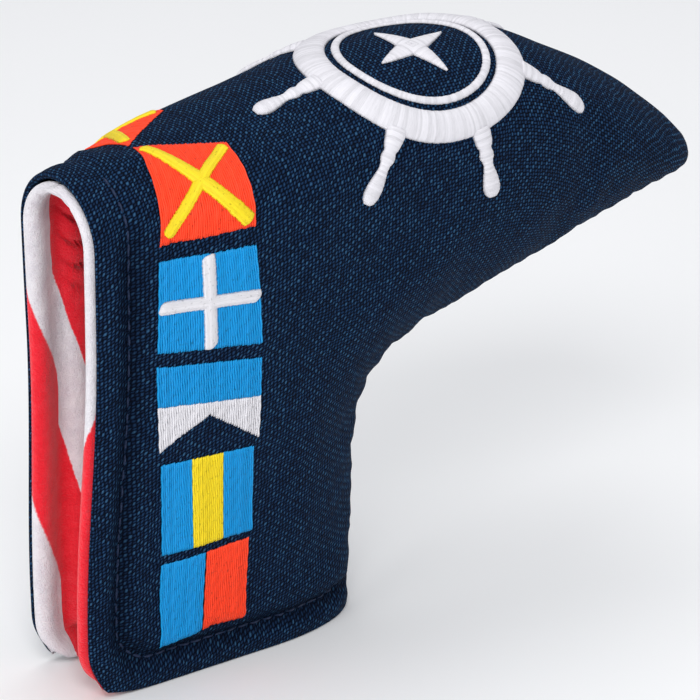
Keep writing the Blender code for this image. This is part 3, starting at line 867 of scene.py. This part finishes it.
def satin_stitch(needle, path, width, to_place, rng, height=0.5, base=0.3):
    """A raised bar of threads laid across it, along a path on the flag."""
    path = np.asarray(path, float)
    length = float(np.linalg.norm(path[1] - path[0]))
    count = max(int(length / 0.2), 4)
    share = np.linspace(0, 1, count + 1)
    middle = path[0] + (path[1] - path[0]) * share[:, None]
    ends = np.minimum(share, 1 - share) * length
    full = np.clip(0.55 + ends / 0.9, 0, 1)
    halves = width / 2 * full + rng.uniform(-0.07, 0.07, count + 1)
    tall = height * (0.55 + 0.45 * np.clip(ends / 0.8, 0, 1)) + 0.05 * (np.arange(count + 1) % 2)
    centres = [to_place(a, d) for a, d in middle]
    needle.strand(centres, halves, tall, base=base)


def box(a1, d1, a2, d2):
    return [(a1, d1), (a2, d1), (a2, d2), (a1, d2)]


def flag_design(number):
    """Fields as (thread, outline) and bars as (thread, path, width), in a flag's own millimetres."""
    w, h = FLAG_WIDTH, FLAG_HEIGHT
    if number == 1:
        bars = [("yellow", [(1.2, 1.2), (w - 1.2, h - 1.2)], 2.6),
                ("yellow", [(1.2, h - 1.2), (w - 1.2, 1.2)], 2.6)]
        return [("orange", box(0, 0, w, h))], bars
    if number == 2:
        bars = [("white", [(w / 2, 0.2), (w / 2, h - 0.2)], 2.5),
                ("white", [(0.2, h / 2), (w - 0.2, h / 2)], 2.5)]
        return [("blue", box(0, 0, w, h))], bars
    if number == 3:
        notch = h * 0.62
        lower = [(0, h * 0.47), (w, h * 0.47), (w, h), (w / 2, notch), (0, h)]
        return [("blue", box(0, 0, w, h * 0.47)), ("white", lower)], []
    if number == 4:
        third = w / 3
        return [("blue", box(0, 0, third, h)), ("yellow", box(third, 0, 2 * third, h)),
                ("blue", box(2 * third, 0, w, h))], []
    return [("blue", box(0, 0, w / 2, h)), ("orange", box(w / 2, 0, w, h))], []


CAD_FLAG_THREADS = ["orange", "blue", "white", "yellow", "orange"]


def make_flags(skin, threads):
    """Five flags down each panel, laid on the fabric; the first is attached to the body."""
    for side, face in ((1, "front"), (-1, "back")):
        for number, corners in enumerate(FLAG_CORNERS, 1):
            rng = np.random.default_rng(number + 10 * (side < 0))
            top_left, top_right, low_right, low_left = np.array(corners, float)

            def to_place(a, d):
                u, v = a / FLAG_WIDTH, d / FLAG_HEIGHT
                top = top_left * (1 - u) + top_right * u
                low = low_left * (1 - u) + low_right * u
                x, t = top * (1 - v) + low * v
                return x, side * t

            fields, bars = flag_design(number)
            made = {}
            for colour, outline in fields:
                needle = made.setdefault(colour, Needle(skin))
                fill_stitch(needle, outline, to_place, rng)
            for colour, path, width in bars:
                needle = made.setdefault(colour, Needle(skin))
                satin_stitch(needle, path, width, to_place, rng)
            for colour, needle in made.items():
                piece = needle.piece(f"{face}_flag_{number}_{colour}", threads[colour])
                if number == 1:
                    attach(piece, "body")
                else:
                    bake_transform(piece)
                if colour == CAD_FLAG_THREADS[number - 1]:
                    nodes = [f"{face}_flag_{number}"]
                    if number in (2, 3):
                        nodes.append(f"{face}_flag_{number}_on_flap")
                    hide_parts(*nodes)


def wheel_place(radius, angle):
    x, t = WHEEL_CENTRE
    return x + radius * math.cos(angle), t - radius * math.sin(angle)


def satin_ring(skin, name, surface, radius, half, height, base, rng):
    """A closed band of satin stitch round the wheel."""
    count = int(2 * math.pi * radius / 0.2)
    angles = np.arange(count) * 2 * math.pi / count
    centres = [wheel_place(radius, a) for a in angles]
    halves = half + rng.uniform(-0.05, 0.05, count)
    tall = height + 0.025 * (np.arange(count) % 2) + 0.05 * np.sin(angles * 3)
    profile = [(-1, 0), (-0.93, 0.35), (-0.72, 0.72), (-0.38, 0.95), (0, 1), (0.38, 0.95), (0.72, 0.72),
               (0.93, 0.35), (1, 0)]
    needle = Needle(skin)
    needle.strand(centres, halves, tall, base=base, closed=True, profile=profile)
    return needle.piece(name, surface, swap=True)


HANDLE_OUTLINE = [(0, 2.3), (0.14, 2.1), (0.24, 1.8), (0.3, 1.4), (0.36, 1.65), (0.42, 1.6), (0.48, 1.2),
                  (0.56, 1.2), (0.7, 1.75), (0.84, 2.05), (0.94, 1.7), (1, 0.9)]


def make_wheel(skin, surface):
    """Ship's wheel over the ridge: rim, thin inner ring, seven turned handles and a plain star."""
    rng = np.random.default_rng(5)
    pieces = {
        "wheel_rim": satin_ring(skin, "wheel_rim_satin", surface, 19.5, 3.05, 1.15, 0.1, rng),
        "wheel_inner_ring": satin_ring(skin, "wheel_inner_satin", surface, 14.5, 0.8, 0.6, 0.1, rng),
    }
    outline = curve_through(HANDLE_OUTLINE, 6)
    for k in range(HANDLES):
        angle = WHEEL_TURN + 2 * math.pi * k / HANDLES
        start, length = 21.6, 14.2
        count = int(length / 0.22)
        share = np.linspace(0, 1, count + 1)
        halves = np.interp(share, outline[:, 0], outline[:, 1])
        halves = halves + rng.uniform(-0.05, 0.05, count + 1)
        tall = 0.2 + 0.42 * halves + 0.025 * (np.arange(count + 1) % 2)
        tall[-1] *= 0.5
        centres = [wheel_place(start + length * u, angle) for u in share]
        needle = Needle(skin)
        profile = [(-1, 0), (-0.85, 0.5), (-0.5, 0.88), (0, 1), (0.5, 0.88), (0.85, 0.5), (1, 0)]
        needle.strand(centres, halves, tall, base=0.1, profile=profile)
        pieces[f"wheel_handle_{k + 1}"] = needle.piece(f"wheel_handle_satin_{k + 1}", surface, swap=True)
    needle = Needle(skin)
    for k in range(4):
        angle = math.radians(15) + math.pi / 2 * k
        share = np.linspace(0, 1, 34)
        centres = [wheel_place(0.2 + 8.8 * u, angle) for u in share]
        halves = 2.5 * (1 - share) ** 0.8 + 0.15 + rng.uniform(-0.05, 0.05, 34)
        tall = 0.75 - 0.35 * share + 0.025 * (np.arange(34) % 2)
        needle.strand(centres, halves, tall, base=0.1)
    pieces["wheel_star"] = needle.piece("wheel_star_satin", surface, swap=True)
    for node, piece in pieces.items():
        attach(piece, "body")
        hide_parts(node)


def make_margin_stitches(skin, surface):
    """Tone-on-tone lockstitches in the groove inside the open edge."""
    route = [(HEEL_LEAN * float(smooth(z, 15, 70)) + GROOVE, z) for z in np.linspace(105, 14, 120)]
    for angle in np.linspace(0, math.pi / 2, 14)[1:]:
        route.append((14 - 8 * math.cos(angle), 14 - 8 * math.sin(angle)))
    route += [(x, 6.0) for x in np.linspace(14.5, 60, 60)]
    for side, face in ((1, "front"), (-1, "back")):
        places = np.array([(x, side * fall_to(x, z)) for x, z in route if z < ridge_height(x) - 0.4])
        length = np.concatenate([[0], np.cumsum(np.linalg.norm(np.diff(places, axis=0), axis=1))])
        needle = Needle(skin)
        start = 0.3
        while start + 2.5 < length[-1]:
            at = start + np.linspace(0, 2.5, 9)
            centres = np.stack([np.interp(at, length, places[:, k]) for k in (0, 1)], axis=1)
            arch = np.sin(np.linspace(0.12, math.pi - 0.12, 9))
            needle.strand(centres, 0.14 + 0.12 * arch, 0.35 * arch, base=-0.05)
            start += 3.0
        piece = needle.piece(f"{face}_margin_stitches", surface, swap=True)
        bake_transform(piece)
        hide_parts(f"{face}_flap_topstitch")
        if side > 0:
            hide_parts("top_topstitch")


# ---------------------------------------------------------------- the whole cover

def main():
    stage()
    fabric, plush = woven_navy(), striped_plush()
    threads = {
        "white": stitched("white_thread", srgb(222, 220, 224)),
        "orange": stitched("orange_thread", srgb(255, 70, 34)),
        "blue": stitched("blue_thread", srgb(0, 146, 212)),
        "yellow": stitched("yellow_thread", srgb(240, 214, 30)),
    }
    panels = [Panel(1), Panel(-1)]
    settle(panels)
    for panel, face in zip(panels, ("front", "back")):
        outer = panel.build(f"{face}_panel", fabric)
        lining = build_lining(f"{face}_lining", panel.side, plush)
        for piece in (outer, lining):
            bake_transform(piece)
        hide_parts("body_shell", "body_padding", f"{face}_flap_shell", f"{face}_flap_padding")
        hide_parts("body_lining", f"{face}_flap_lining")
    skin = Skin(panels)
    make_flags(skin, threads)
    make_wheel(skin, stitched("white_satin", srgb(222, 220, 225), 0.15))
    make_margin_stitches(skin, stitched("navy_thread", srgb(24, 40, 70)))
    steel = brushed_steel()
    for name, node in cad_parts.items():
        if name.endswith("_magnet"):
            for index in range(len(node.material_slots)):
                node.material_slots[index].material = steel


main()
